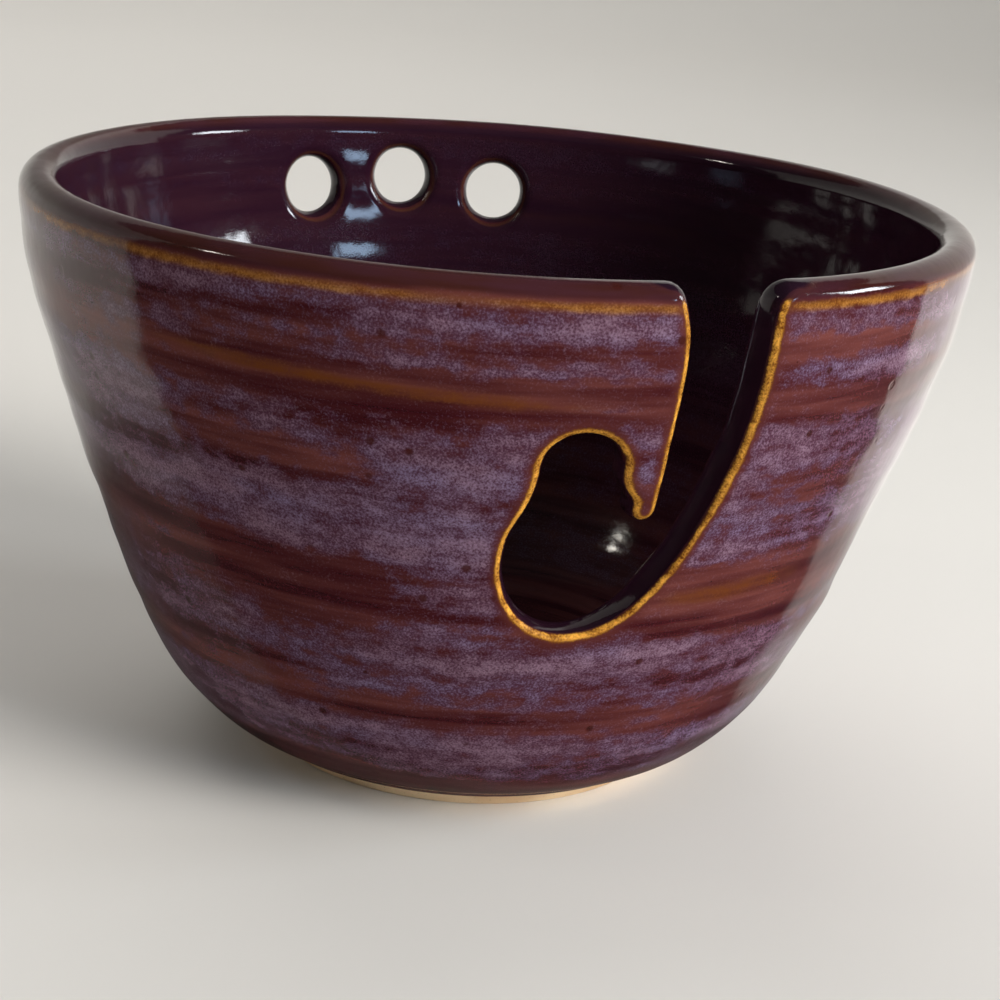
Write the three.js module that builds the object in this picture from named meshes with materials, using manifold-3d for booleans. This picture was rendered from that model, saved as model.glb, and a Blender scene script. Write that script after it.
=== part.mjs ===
// Yarn bowl: one thrown and fired stoneware bowl with a J-shaped yarn slot cut down through
// its rim and three needle holes in the opposite wall, glazed all over except its foot.
//
// Millimetres, +Z up. The origin is the centre of the flat underside. The yarn slot is at the
// front (-Y) and the middle needle hole is at the back (+Y).

import * as THREE from 'three';
import { mergeVertices } from 'three/addons/utils/BufferGeometryUtils.js';
import Module from 'manifold-3d';

const wasm = await Module();
wasm.setup();

// Driving dimensions of the glazed bowl.
const HEIGHT = 99;
const RIM_RADIUS = 80;
const LIP_RADIUS = 3.3; // the rolled lip is as thick as the wall
const FOOT_RADIUS = 36.6;
const GLAZE_LINE_RADIUS = 39.6;
const GLAZE_LINE_HEIGHT = 3.5; // bare clay below this
const FLOOR_HEIGHT = 8.5;
const GLAZE = 0.6; // thickness of the fired glaze
const CLEARANCE = 0.3; // between the clay and the glaze on it

// The slot is laid out on the unrolled wall: x runs along the wall from the front line towards
// +X, y is the height. The unrolling radius is the wall's mean radius beside the slot. A pull is
// how far a curve keeps its direction on leaving a point.
const SLOT = {
  unrollRadius: 74,
  entryLeft: 5.95,
  entryRight: 17.4,
  entryRightEnd: { y: 86, pullDown: 16 }, // the entry's right side is straight above this height
  bottom: { x: -4.7, y: 43.2, pullLeft: 7, pullRight: 17 },
  left: { x: -16.2, y: 55.5, pullDown: 7, pullUp: 5.5 },
  curl: { x: -6.5, y: 71.2, radius: 5.8, pullLeftDown: 5.7, pullRightDown: 3.4 }, // round top
  neck: { y: 65.6, pullUp: 1.6 }, // where the clay hook's curl side starts to widen
  tip: { x: 3.9, y: 64.75, radius: 2.05 }, // round end of the clay hook
  hookCorner: { width: 4, height: 15, pullRight: 3.55, pullUp: 10 }, // lip corner on the hook
  farCorner: { width: 4.6, height: 6, pullLeft: 3.2, pullUp: 3.6 }, // lip corner opposite it
  top: 110, // above the lip
};

const NEEDLE_HOLES = {
  radius: 5.5,
  azimuths: [75, 90, 105], // degrees from +X
  heights: [85.5, 87.5, 85.5],
  reach: 100, // from the bowl's axis to past the wall
};

// Fineness of the facets.
const ROUND_STEPS = 60;
const WALL_STEPS = 10;
const LIP_STEPS = 4;
const SLOT_CURVE_STEPS = 8;
const HOLE_STEPS = 24;

const GLAZE_MATERIAL = new THREE.MeshStandardMaterial({ color: 0x4b2436, roughness: 0.15, metalness: 0 });
const CLAY_MATERIAL = new THREE.MeshStandardMaterial({ color: 0xd9c19a, roughness: 0.85, metalness: 0 });

const LIP_CENTRE = new THREE.Vector2(RIM_RADIUS - LIP_RADIUS, HEIGHT - LIP_RADIUS);

// Half sections of the wall, as [radius, height] from the bottom to the lip.
const OUTER_WALL = [
  [GLAZE_LINE_RADIUS, GLAZE_LINE_HEIGHT],
  [46.2, 7.2],
  [52.0, 12.6],
  [58.8, 24],
  [65.1, 40.2],
  [71.5, 59.4],
  [76.8, 76.6],
  [79.4, 89],
  [RIM_RADIUS, LIP_CENTRE.y],
];
const INNER_WALL = [
  [0, FLOOR_HEIGHT],
  [22, 9],
  [36.5, 12],
  [46.5, 18.2],
  [53, 27.2],
  [59, 42.4],
  [65.2, 61.2],
  [70.3, 78.2],
  [72.8, 90],
  [RIM_RADIUS - 2 * LIP_RADIUS, LIP_CENTRE.y],
];

// The glazed surface in half section: from the axis over the floor, up the inside, round the lip
// and down the outside to the glaze line.
function glazedSection() {
  const inside = smoothCurve(INNER_WALL).getSpacedPoints(WALL_STEPS);
  const outside = smoothCurve(OUTER_WALL).getSpacedPoints(WALL_STEPS).reverse();
  const lip = new THREE.ArcCurve(LIP_CENTRE.x, LIP_CENTRE.y, LIP_RADIUS, Math.PI, 0, true);
  const lipPoints = lip.getPoints(LIP_STEPS).slice(1, -1);
  return [...inside, ...lipPoints, ...outside];
}

function smoothCurve(points) {
  return new THREE.SplineCurve(points.map(([x, y]) => new THREE.Vector2(x, y)));
}

// Moves every point of a line to the right of its direction of travel.
function moveRight(line, distance, closed) {
  const last = line.length - 1;
  return line.map((point, i) => {
    const before = line[i > 0 ? i - 1 : closed ? last : 0];
    const after = line[i < last ? i + 1 : closed ? 0 : last];
    const arriving = point.clone().sub(before).normalize();
    const leaving = after.clone().sub(point).normalize();
    const heading = arriving.add(leaving).normalize();
    const reach = leaving.lengthSq() > 0 ? distance / heading.dot(leaving) : distance;
    return new THREE.Vector2(point.x + heading.y * reach, point.y - heading.x * reach);
  });
}

// The same section, deeper in the wall by a distance. It still starts on the axis.
function sectionAtDepth(depth) {
  const section = moveRight(glazedSection(), depth, false);
  section[0].x = 0;
  return section;
}

// A closed geometry as a solid that can be cut and joined.
function toSolid(geometry) {
  geometry.deleteAttribute('normal');
  geometry.deleteAttribute('uv');
  const merged = mergeVertices(geometry);
  const corners = [...merged.index.array];
  const triangles = [];
  for (let i = 0; i < corners.length; i += 3) {
    const [a, b, c] = corners.slice(i, i + 3);
    if (a !== b && b !== c && c !== a) {
      triangles.push(a, b, c);
    }
  }
  return new wasm.Manifold(new wasm.Mesh({
    numProp: 3,
    vertProperties: merged.attributes.position.array,
    triVerts: new Uint32Array(triangles),
  }));
}

function toMesh(name, solid, material) {
  const { vertProperties, triVerts } = solid.getMesh();
  const geometry = new THREE.BufferGeometry();
  geometry.setAttribute('position', new THREE.BufferAttribute(vertProperties, 3));
  geometry.setIndex(new THREE.BufferAttribute(triVerts, 1));
  geometry.computeVertexNormals();
  const mesh = new THREE.Mesh(geometry, material);
  mesh.name = name;
  return mesh;
}

// Turns a half section, closed along the axis, into a solid round +Z.
function revolve(section) {
  const outline = section.slice().reverse();
  const geometry = new THREE.LatheGeometry(outline, ROUND_STEPS);
  geometry.rotateX(Math.PI / 2);
  return toSolid(geometry);
}

function bend(...corners) {
  return new THREE.CubicBezierCurve(...corners.map(([x, y]) => new THREE.Vector2(x, y)));
}

// The slot's outline on the unrolled wall, from the hook's lip corner down round the tip and the
// curl and up the entry's right side.
function slotOutline() {
  const { entryLeft, entryRight, entryRightEnd, bottom, left } = SLOT;
  const { curl, neck, tip, hookCorner, farCorner, top } = SLOT;
  const hookLipEnd = entryLeft - hookCorner.width;
  const farLipEnd = entryRight + farCorner.width;
  const neckX = tip.x - tip.radius;
  const curves = [
    bend(
      [hookLipEnd, HEIGHT],
      [hookLipEnd + hookCorner.pullRight, HEIGHT],
      [entryLeft, HEIGHT - hookCorner.height + hookCorner.pullUp],
      [entryLeft, HEIGHT - hookCorner.height],
    ),
    new THREE.ArcCurve(tip.x, tip.y, tip.radius, 0, Math.PI, true),
    bend(
      [neckX, neck.y],
      [neckX, neck.y + neck.pullUp],
      [curl.x + curl.radius, curl.y - curl.pullRightDown],
      [curl.x + curl.radius, curl.y],
    ),
    new THREE.ArcCurve(curl.x, curl.y, curl.radius, 0, Math.PI, false),
    bend(
      [curl.x - curl.radius, curl.y],
      [curl.x - curl.radius, curl.y - curl.pullLeftDown],
      [left.x, left.y + left.pullUp],
      [left.x, left.y],
    ),
    bend(
      [left.x, left.y],
      [left.x, left.y - left.pullDown],
      [bottom.x - bottom.pullLeft, bottom.y],
      [bottom.x, bottom.y],
    ),
    bend(
      [bottom.x, bottom.y],
      [bottom.x + bottom.pullRight, bottom.y],
      [entryRight, entryRightEnd.y - entryRightEnd.pullDown],
      [entryRight, entryRightEnd.y],
    ),
    bend(
      [entryRight, HEIGHT - farCorner.height],
      [entryRight, HEIGHT - farCorner.height + farCorner.pullUp],
      [farLipEnd - farCorner.pullLeft, HEIGHT],
      [farLipEnd, HEIGHT],
    ),
  ];
  const points = curves.flatMap((curve) => curve.getPoints(SLOT_CURVE_STEPS));
  points.push(new THREE.Vector2(farLipEnd, top), new THREE.Vector2(hookLipEnd, top));
  const apart = 0.01;
  return points.filter((point, i) => i === 0 || point.distanceTo(points[i - 1]) > apart);
}

// The slot as a cutter through the wall, widened on every side by a margin. Its sides point at
// the bowl's axis, as a knife held square to the wall leaves them.
function slotCutter(margin) {
  const innerReach = 50;
  const outerReach = 90;
  const shape = new THREE.Shape(moveRight(slotOutline(), margin, true));
  const geometry = new THREE.ExtrudeGeometry(shape, {
    depth: outerReach - innerReach,
    bevelEnabled: false,
    steps: 4,
  });
  const position = geometry.attributes.position;
  for (let i = 0; i < position.count; i += 1) {
    const angle = position.getX(i) / SLOT.unrollRadius;
    const reach = innerReach + position.getZ(i);
    position.setXYZ(i, reach * Math.sin(angle), -reach * Math.cos(angle), position.getY(i));
  }
  return toSolid(geometry);
}

// A level cutter from the bowl's axis out through the wall, widened by a margin.
function needleHoleCutter(azimuth, height, margin) {
  const { radius, reach } = NEEDLE_HOLES;
  const cutRadius = radius + margin;
  const geometry = new THREE.CylinderGeometry(cutRadius, cutRadius, reach, HOLE_STEPS);
  geometry.rotateZ(-Math.PI / 2);
  geometry.translate(reach / 2, 0, height);
  geometry.rotateZ(THREE.MathUtils.degToRad(azimuth));
  return toSolid(geometry);
}

// Takes the slot and the needle holes, each widened by a margin, out of a solid.
function cutOpenings(solid, margin) {
  const { azimuths, heights } = NEEDLE_HOLES;
  const withSlot = solid.subtract(slotCutter(margin));
  return azimuths.reduce((cut, azimuth, i) => (
    cut.subtract(needleHoleCutter(azimuth, heights[i], margin))
  ), withSlot);
}

// The fired clay: floor, wall, lip, and the bare foot that it rests on.
function stonewareBody() {
  const depth = GLAZE + CLEARANCE;
  const section = [
    ...sectionAtDepth(depth),
    new THREE.Vector2(FOOT_RADIUS, 0),
    new THREE.Vector2(0, 0),
  ];
  return cutOpenings(revolve(section), depth);
}

// The glaze: a thin coat on the clay that also lines the slot and the needle holes.
function glazeCoat() {
  const outside = revolve([
    ...glazedSection(),
    new THREE.Vector2(0, GLAZE_LINE_HEIGHT),
  ]);
  const insideSection = sectionAtDepth(GLAZE);
  const belowFoot = -1;
  const inside = revolve([
    ...insideSection,
    new THREE.Vector2(insideSection.at(-1).x, belowFoot),
    new THREE.Vector2(0, belowFoot),
  ]);
  return cutOpenings(outside, 0).subtract(cutOpenings(inside, GLAZE));
}

const yarnBowl = new THREE.Group();
yarnBowl.name = 'yarn_bowl';
yarnBowl.add(toMesh('stoneware_body', stonewareBody(), CLAY_MATERIAL));
yarnBowl.add(toMesh('glaze_coat', glazeCoat(), GLAZE_MATERIAL));

export default yarnBowl;
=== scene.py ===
"""The looks of a hand-thrown stoneware yarn bowl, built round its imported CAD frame.

Two pieces are built in mesh code: the glaze, a thin coat with rounded slot and hole edges, and
the fired clay inside it, which shows only as a bare band at the foot. Shapes are laid out in
design millimetres, and MM turns them into metres at the frame's size.

The wall is planned unrolled: x runs along the wall from the front line towards +X, y is the
height, and "through" runs from -1 on the inner face of the wall to 1 on the outer face.
"""

import math
from types import SimpleNamespace

import bpy
import numpy as np
from mathutils import Matrix, Vector
from mathutils.geometry import delaunay_2d_cdt
from mathutils.kdtree import KDTree


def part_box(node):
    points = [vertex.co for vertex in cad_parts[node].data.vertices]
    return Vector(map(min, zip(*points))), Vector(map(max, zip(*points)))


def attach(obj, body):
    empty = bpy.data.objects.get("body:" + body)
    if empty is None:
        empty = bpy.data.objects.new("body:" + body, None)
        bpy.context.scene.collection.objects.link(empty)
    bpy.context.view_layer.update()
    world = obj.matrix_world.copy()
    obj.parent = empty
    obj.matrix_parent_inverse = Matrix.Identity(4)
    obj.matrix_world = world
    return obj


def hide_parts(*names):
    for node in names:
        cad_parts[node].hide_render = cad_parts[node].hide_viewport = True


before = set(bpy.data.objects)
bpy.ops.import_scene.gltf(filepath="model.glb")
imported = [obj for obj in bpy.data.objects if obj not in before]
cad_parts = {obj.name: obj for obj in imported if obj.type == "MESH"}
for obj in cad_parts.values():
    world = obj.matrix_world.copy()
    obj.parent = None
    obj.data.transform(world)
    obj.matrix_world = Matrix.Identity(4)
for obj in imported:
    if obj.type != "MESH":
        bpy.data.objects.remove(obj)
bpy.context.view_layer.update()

# The frame's size.
DESIGN_RIM_RADIUS = 80.0
BOWL_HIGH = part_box("glaze_coat")[1]
MM = BOWL_HIGH.x / DESIGN_RIM_RADIUS
HEIGHT = BOWL_HIGH.z / MM

# The wall.
LIP_RADIUS = 3.3
LIP_CENTRE_HEIGHT = HEIGHT - LIP_RADIUS
FOOT_RADIUS = 36.6
FOOT_ROUNDING = 0.7
GLAZE_THICKNESS = 0.6
GLAZE_END = 0.9  # the glaze rounds off over this length at its line
CLAY_DEPTH = 0.65  # the clay starts just under the glaze
OUTER_WALL = [
    (39.6, 3.5), (46.2, 7.2), (52.0, 12.6), (58.8, 24.0), (65.1, 40.2),
    (71.5, 59.4), (76.8, 76.6), (79.4, 89.0), (DESIGN_RIM_RADIUS, LIP_CENTRE_HEIGHT),
]
OUTER_START = (0.87, 0.49)  # the wall's direction where the glaze begins
INNER_WALL = [
    (0.0, 8.5), (22.0, 9.0), (36.5, 12.0), (46.5, 18.2), (53.0, 27.2), (59.0, 42.4),
    (65.2, 61.2), (70.3, 78.2), (72.8, 90.0), (DESIGN_RIM_RADIUS - 2 * LIP_RADIUS, LIP_CENTRE_HEIGHT),
]
INNER_START = (1.0, 0.0)  # level at the middle of the floor

# The slot and the needle holes on the unrolled wall, as in the CAD design. A pull is how far a
# curve keeps its direction on leaving a point.
UNROLL_RADIUS = 74.0
AROUND = 2 * math.pi * UNROLL_RADIUS
SEAM = -AROUND / 4  # where the unrolled wall is cut, clear of every opening
ENTRY_LEFT = 5.95
ENTRY_RIGHT = 17.4
ENTRY_RIGHT_END = SimpleNamespace(y=86.0, pull_down=16.0)  # the right side is straight above it
SLOT_BOTTOM = SimpleNamespace(x=-4.7, y=43.2, pull_left=7.0, pull_right=17.0)
SLOT_LEFT = SimpleNamespace(x=-16.2, y=55.5, pull_down=7.0, pull_up=5.5)
CURL = SimpleNamespace(x=-6.5, y=71.2, radius=5.8, pull_left_down=5.7, pull_right_down=3.4)
NECK = SimpleNamespace(y=65.6, pull_up=1.6)  # where the hook's curl side starts to widen
TIP = SimpleNamespace(x=3.9, y=64.75, radius=2.05)  # the round end of the hook
HOOK_CORNER = SimpleNamespace(width=4.0, height=15.0, pull_right=3.55, pull_up=10.0)
FAR_CORNER = SimpleNamespace(width=4.6, height=6.0, pull_left=3.2, pull_up=3.6)
HOLE_RADIUS = 5.5
HOLE_ANGLES = [165.0, 180.0, 195.0]  # degrees from the front line
HOLE_HEIGHTS = [85.5, 87.5, 85.5]

# How an edge is rounded: how far the rounding reaches into the wall's face, and how square its
# section is, where 2 is an ellipse.
LIP_ROUNDING = np.array([LIP_RADIUS, 2.0])
SLOT_ROUNDING = np.array([1.75, 2.7])
HOLE_ROUNDING = np.array([3.0, 2.1])
HOLE_TO_LIP = 0.3  # the least face between a hole's rounding and the lip's
LIP_ROUNDING_ENDS = -6.0  # lengths past the slot's corner between which one rounding turns
SLOT_ROUNDING_STARTS = 14.0  # into the other

# Fineness of the meshes.
FACE_STEP = 1.4
HIDDEN_STEP = 2.8
EDGE_STEP = 0.55  # of the step, along the slot and the holes
EDGE_RINGS = 9
CLEAR_OF_EDGES = 0.6  # of a column's width: no loose vertex is nearer to an edge
CURVE_POINTS = 60
SHEET_BOTTOM = 36.0  # the wall is laid out unrolled above this height and in turned rows below
ONE_RADIUS_FROM = 26.0  # from this height up, each height has one radius on each side of the wall
FIRST_ROW = 0.1  # of the step, from the glaze line to the row above it
ROW_GROWTH = 0.2  # rows are further apart by this share of their way from the line
FOOT_STEP = 0.3  # between the first rows of the bare foot
FOOT_FINE = 6.0  # the length of foot with such fine rows

# The marks of the hand.
RING_WAVELENGTHS = [5.0, 7.0, 9.0, 12.0, 16.0, 23.0, 34.0]
RING_SLOPE = 0.021
RING_SWAY = 0.8  # radians
BEAD_HEIGHT = 0.3
BEAD_CENTRE = 1.3
BEAD_WIDTH = 0.9
GLAZE_LINE_RISE = 0.3
LINE_WAVES_FADE = 6.0  # how far up the rows still follow the glaze line's waves

# Waves round the bowl, as (count, size, phase).
GLAZE_LINE_WAVES = [(3, 0.16, 0.6), (7, 0.09, 2.0), (17, 0.05, 0.0)]
LIP_WAVES = [(2, 0.12, 0.4), (3, 0.08, 2.1), (7, 0.04, 1.0)]

# How milky the glaze is up the wall, as (level, share), and where it is more or less so. A stroke
# is (angle, level, half length in degrees, half height, climb per degree, strength).
HAZE_BANDS = [
    (0.0, 0.0), (9.0, 0.0), (11.5, 0.1), (13.5, 0.58), (22.0, 0.55), (25.0, 0.12),
    (28.0, 0.2), (31.0, 0.55), (40.0, 0.5), (43.0, 0.25), (46.0, 0.05), (53.0, 0.05),
    (56.0, 0.6), (64.0, 0.68), (74.0, 0.62), (78.0, 0.45), (80.5, 0.02), (84.5, 0.02),
    (86.5, 0.5), (89.0, 0.25), (92.0, 0.62), (95.0, 0.5), (97.0, 0.0),
]
HAZE_STROKES = [
    (-41.0, 70.5, 12.0, 2.6, -0.10, -0.75), (-33.0, 59.0, 22.0, 4.0, 0.0, 0.15),
    (-19.0, 49.0, 9.0, 7.0, 0.0, 0.55), (23.0, 49.0, 15.0, 5.0, 0.0, -0.3),
    (27.0, 66.0, 14.0, 4.0, 0.0, -0.35), (28.0, 90.5, 14.0, 2.2, 0.0, -0.5),
    (28.0, 84.5, 14.0, 2.4, 0.0, 0.6), (1.0, 39.0, 14.0, 4.0, 0.0, 0.25),
    (95.0, 72.0, 30.0, 3.0, 0.05, -0.6), (130.0, 49.0, 22.0, 5.0, 0.0, 0.5),
    (178.0, 62.0, 26.0, 2.4, -0.05, -0.6), (-130.0, 49.0, 18.0, 5.0, 0.04, 0.6),
    (-95.0, 66.0, 24.0, 3.0, 0.04, -0.7), (60.0, 36.0, 20.0, 2.6, 0.0, -0.5),
    (-160.0, 34.0, 30.0, 3.0, 0.0, -0.4),
]

# Where the glaze runs thin over a throwing ring, as strokes.
THIN_STROKES = [
    (-30.0, 82.6, 26.0, 1.3, -0.055, 0.75), (20.0, 49.5, 13.0, 1.8, 0.03, 0.7),
    (-35.0, 48.0, 11.0, 3.4, 0.0, 0.25), (0.0, 26.0, 60.0, 1.6, 0.0, 0.2),
    (80.0, 82.0, 24.0, 1.3, 0.03, 0.6), (150.0, 81.5, 30.0, 1.2, -0.02, 0.7),
    (-110.0, 50.0, 26.0, 2.0, 0.02, 0.6), (-165.0, 26.0, 34.0, 1.6, 0.0, 0.35),
    (110.0, 27.0, 30.0, 1.4, 0.0, 0.35),
]

# How the milky bands tilt and sway round the bowl, evening out towards the lip.
BAND_TILT = 1.3
BAND_SWAY = 0.8
SWAY_CLIMB = 20.0  # the sway turns by a radian over this height

# The two sides of the wall, each named by the "through" of its face.
OUTER, INNER = 1, -1
FAR = 99.0  # further than any material looks


# ---------------------------------------------------------------- lines in a plane

def smooth_line(points, start, steps=40):
    """A dense line that bends evenly through points, sets off along start and ends straight up."""
    points = np.array(points, float)
    gaps = np.linalg.norm(np.diff(points, axis=0), axis=1)
    slopes = np.diff(points, axis=0) / gaps[:, None]
    count = len(points)
    system = np.eye(count)
    target = np.zeros((count, 2))
    target[0] = start
    target[-1] = (0.0, 1.0)
    for i in range(1, count - 1):
        before, after = gaps[i - 1], gaps[i]
        system[i, i - 1:i + 2] = after, 2 * (before + after), before
        target[i] = 3 * (after * slopes[i - 1] + before * slopes[i])
    tangents = np.linalg.solve(system, target)
    t = np.linspace(0, 1, steps, endpoint=False)[:, None]
    pieces = [
        (1 + 2 * t) * (1 - t) ** 2 * points[i] + t * (1 - t) ** 2 * gaps[i] * tangents[i]
        + t * t * (3 - 2 * t) * points[i + 1] + t * t * (t - 1) * gaps[i] * tangents[i + 1]
        for i in range(count - 1)
    ]
    return np.concatenate([*pieces, points[-1:]])


def pulled_curve(start, start_pull, end, end_pull):
    """A curve between two points, with the move from each point that the curve follows at first."""
    t = np.linspace(0, 1, CURVE_POINTS)[:, None]
    a, d = np.array(start, float), np.array(end, float)
    b, c = a + start_pull, d + end_pull
    return (1 - t) ** 3 * a + 3 * t * (1 - t) ** 2 * b + 3 * t * t * (1 - t) * c + t ** 3 * d


def arc(centre, radius, start, end):
    """Part of a circle, between angles in radians."""
    angle = np.linspace(start, end, CURVE_POINTS)
    return np.stack([centre[0] + radius * np.cos(angle), centre[1] + radius * np.sin(angle)], -1)


def lengths_along(line):
    """The length of line from its start to each of its points."""
    return np.concatenate([[0.0], np.cumsum(np.linalg.norm(np.diff(line, axis=0), axis=1))])


def at_length(line, values, length):
    """Values given at a line's points, read at a length along it."""
    along = lengths_along(line)
    return np.stack([np.interp(length, along, column) for column in values.T], -1)


def respaced(line, step):
    """The same line with points at even lengths, close to step."""
    whole = lengths_along(line)[-1]
    return at_length(line, line, np.linspace(0, whole, round(whole / step) + 1))


def right_of(line):
    """Unit vectors to the right of a line's direction of travel."""
    heading = np.gradient(line, axis=0)
    heading /= np.linalg.norm(heading, axis=1)[:, None]
    return np.stack([heading[:, 1], -heading[:, 0]], -1)


def smooth_step(value, low, high):
    """A smooth climb from 0 to 1 as a value goes from low to high."""
    t = np.clip((value - low) / (high - low), 0, 1)
    return t * t * (3 - 2 * t)


def waves(rows, angle, base=0.0):
    """A base with waves round the bowl added to it."""
    return sum((size * np.sin(count * angle + phase) for count, size, phase in rows), base)


def distance_to(targets, points):
    """How far each point is from the nearest target point."""
    tree = KDTree(len(targets))
    for i, target in enumerate(targets):
        tree.insert((*target, 0.0), i)
    tree.balance()
    return np.array([tree.find((*point, 0.0))[2] for point in points])


def inside(loops, points):
    """Which points are inside an odd number of the closed loops."""
    x, y = points.T
    odd = np.zeros(len(points), bool)
    for loop in loops:
        for (x1, y1), (x2, y2) in zip(loop, np.roll(loop, -1, axis=0)):
            if y1 != y2:
                odd ^= ((y1 > y) != (y2 > y)) & (x < x1 + (y - y1) * (x2 - x1) / (y2 - y1))
    return odd


def triangulated(loops, others):
    """Triangles over the area inside the loops, as rows of three indices into loops then others."""
    points = np.concatenate([*loops, others])
    edges = []
    start = 0
    for loop in loops:
        edges += [(start + i, start + (i + 1) % len(loop)) for i in range(len(loop))]
        start += len(loop)
    _, _, faces, sources, _, _ = delaunay_2d_cdt([Vector(p) for p in points], edges, [], 0, 1e-6, True)
    triangles = np.array([[sources[corner][0] for corner in face] for face in faces])
    on_loops = (triangles < start).all(1)
    kept = np.ones(len(triangles), bool)
    kept[on_loops] = inside(loops, points[triangles[on_loops]].mean(1))
    return triangles[kept]


# ---------------------------------------------------------------- outlines

SECTIONS = {
    OUTER: smooth_line(OUTER_WALL, OUTER_START),
    INNER: smooth_line(INNER_WALL, INNER_START),
}


def slot_outline():
    """The slot's edge from the hook's lip corner, round the curl and up to the far lip corner,
    with the clay on its right."""
    hook_end = (ENTRY_LEFT - HOOK_CORNER.width, HEIGHT)
    entry_left_top = (ENTRY_LEFT, HEIGHT - HOOK_CORNER.height)
    neck = (TIP.x - TIP.radius, NECK.y)
    curl_right = (CURL.x + CURL.radius, CURL.y)
    curl_left = (CURL.x - CURL.radius, CURL.y)
    left = (SLOT_LEFT.x, SLOT_LEFT.y)
    bottom = (SLOT_BOTTOM.x, SLOT_BOTTOM.y)
    entry_right_end = (ENTRY_RIGHT, ENTRY_RIGHT_END.y)
    entry_right_top = (ENTRY_RIGHT, HEIGHT - FAR_CORNER.height)
    far_end = (ENTRY_RIGHT + FAR_CORNER.width, HEIGHT)
    line = np.concatenate([
        pulled_curve(hook_end, (HOOK_CORNER.pull_right, 0), entry_left_top, (0, HOOK_CORNER.pull_up)),
        arc((TIP.x, TIP.y), TIP.radius, 0, -math.pi),
        pulled_curve(neck, (0, NECK.pull_up), curl_right, (0, -CURL.pull_right_down)),
        arc((CURL.x, CURL.y), CURL.radius, 0, math.pi),
        pulled_curve(curl_left, (0, -CURL.pull_left_down), left, (0, SLOT_LEFT.pull_up)),
        pulled_curve(left, (0, -SLOT_LEFT.pull_down), bottom, (-SLOT_BOTTOM.pull_left, 0)),
        pulled_curve(bottom, (SLOT_BOTTOM.pull_right, 0), entry_right_end, (0, -ENTRY_RIGHT_END.pull_down)),
        pulled_curve(entry_right_top, (0, FAR_CORNER.pull_up), far_end, (-FAR_CORNER.pull_left, 0)),
    ])
    moves = np.linalg.norm(np.diff(line, axis=0), axis=1) > 1e-6
    return line[np.concatenate([[True], moves])]


def hole_outline(angle, height):
    """A needle hole's edge on the unrolled wall."""
    return arc((math.radians(angle) * UNROLL_RADIUS, height), HOLE_RADIUS, 0, 2 * math.pi)


SLOT = slot_outline()
HOLES = [hole_outline(angle, height) for angle, height in zip(HOLE_ANGLES, HOLE_HEIGHTS)]
OPENINGS = np.concatenate([respaced(line, 0.1) for line in (SLOT, *HOLES)])


def wall_columns(step):
    """How many columns go round the wall: a number that can be halved three times."""
    return 8 * round(AROUND / step / 8)


class Edge:
    """A closed run of wall edge: its plan, the way into the clay, and how it is rounded."""

    def __init__(self, plan, into_clay, rounding):
        self.plan = plan
        self.into_clay = into_clay
        self.reach, self.squareness = rounding.T

    def ring(self, turn, depth):
        """The plan and the "through" of one ring round the edge, from its middle at turn 0 to
        where the wall's face begins at a quarter turn."""
        power = 2 / self.squareness
        inward = depth + (self.reach - depth) * (1 - np.cos(turn) ** power)
        return self.plan + self.into_clay * inward[:, None], np.sin(turn) ** power


def rim_edge(step):
    """The lip all the way round from the seam, with the slot let into it."""
    slot = respaced(SLOT, EDGE_STEP * step)
    columns = wall_columns(step)
    rim = np.stack([SEAM + np.arange(columns) * AROUND / columns, np.full(columns, HEIGHT)], -1)
    before = rim[rim[:, 0] < SLOT[0, 0] - step / 2]
    after = rim[rim[:, 0] > SLOT[-1, 0] + step / 2]
    plan = np.concatenate([before, slot, after])
    into_clay = np.tile((0.0, -1.0), (len(plan), 1))
    into_clay[len(before):len(before) + len(slot)] = right_of(slot)
    past_left = lengths_along(plan) - lengths_along(plan)[len(before)]
    past_right = lengths_along(slot)[-1] - past_left
    blend = smooth_step(np.minimum(past_left, past_right), LIP_ROUNDING_ENDS, SLOT_ROUNDING_STARTS)[:, None]
    return Edge(plan, into_clay, LIP_ROUNDING + (SLOT_ROUNDING - LIP_ROUNDING) * blend)


def hole_edge(outline, step):
    """The edge of a needle hole, rounded less where it comes near the lip."""
    plan = respaced(outline, EDGE_STEP * step)[:-1]
    from_centre = plan - plan.mean(0)
    into_clay = from_centre / np.linalg.norm(from_centre, axis=1)[:, None]
    rounding = np.tile(HOLE_ROUNDING, (len(plan), 1))
    rounding[:, 0] = np.minimum(rounding[:, 0], LIP_CENTRE_HEIGHT - HOLE_TO_LIP - plan[:, 1])
    return Edge(plan, into_clay, rounding)


# ---------------------------------------------------------------- the bowl's surface

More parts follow.
